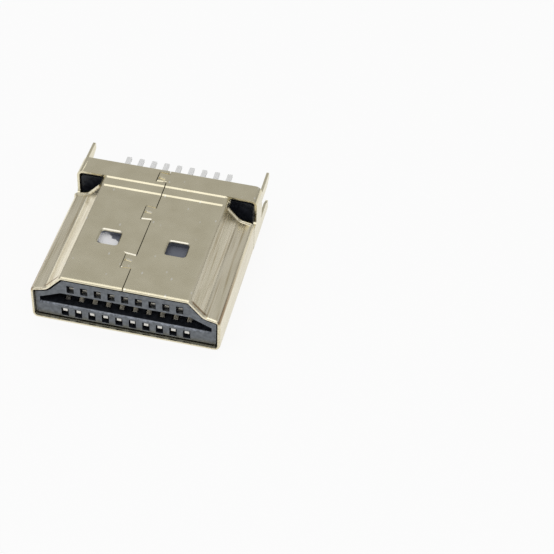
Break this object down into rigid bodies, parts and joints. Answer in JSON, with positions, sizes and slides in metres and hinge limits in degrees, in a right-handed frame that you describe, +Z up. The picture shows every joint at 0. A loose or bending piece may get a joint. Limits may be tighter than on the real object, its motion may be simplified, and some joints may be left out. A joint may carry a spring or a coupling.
{
  "type": "hdmi plug",
  "caption": "Metal-shelled rectangular connector plug with a stepped profile, a moulded mouth, and two rows of solder tails and four legs that straddle a board's edge.",
  "frame": {"origin": "middle of the mouth's lower outer edge: the mating plane, the plane of symmetry and the outside of the wide face meet there", "axes": "+X across the plug along the rows of contacts, +Y from the mating mouth towards the solder tails, +Z up from the wide face to the narrow face with the seam"},
  "size_m": [0.014, 0.0154, 0.0047],
  "materials": {
    "plated_sheet": "satin pale gold plating with a fine grain",
    "moulding": "matte black moulding",
    "contact": "tinned copper alloy strip"
  },
  "bodies": {
    "root": {"shell": "plated_sheet", "front_insulator": "moulding", "rear_insulator": "moulding", "lower_contact_1": "contact", "lower_contact_2": "contact", "lower_contact_3": "contact", "lower_contact_4": "contact", "lower_contact_5": "contact", "lower_contact_6": "contact", "lower_contact_7": "contact", "lower_contact_8": "contact", "lower_contact_9": "contact", "lower_contact_10": "contact", "upper_contact_1": "contact", "upper_contact_2": "contact", "upper_contact_3": "contact", "upper_contact_4": "contact", "upper_contact_5": "contact", "upper_contact_6": "contact", "upper_contact_7": "contact", "upper_contact_8": "contact", "upper_contact_9": "contact"}
  },
  "joints": []
}
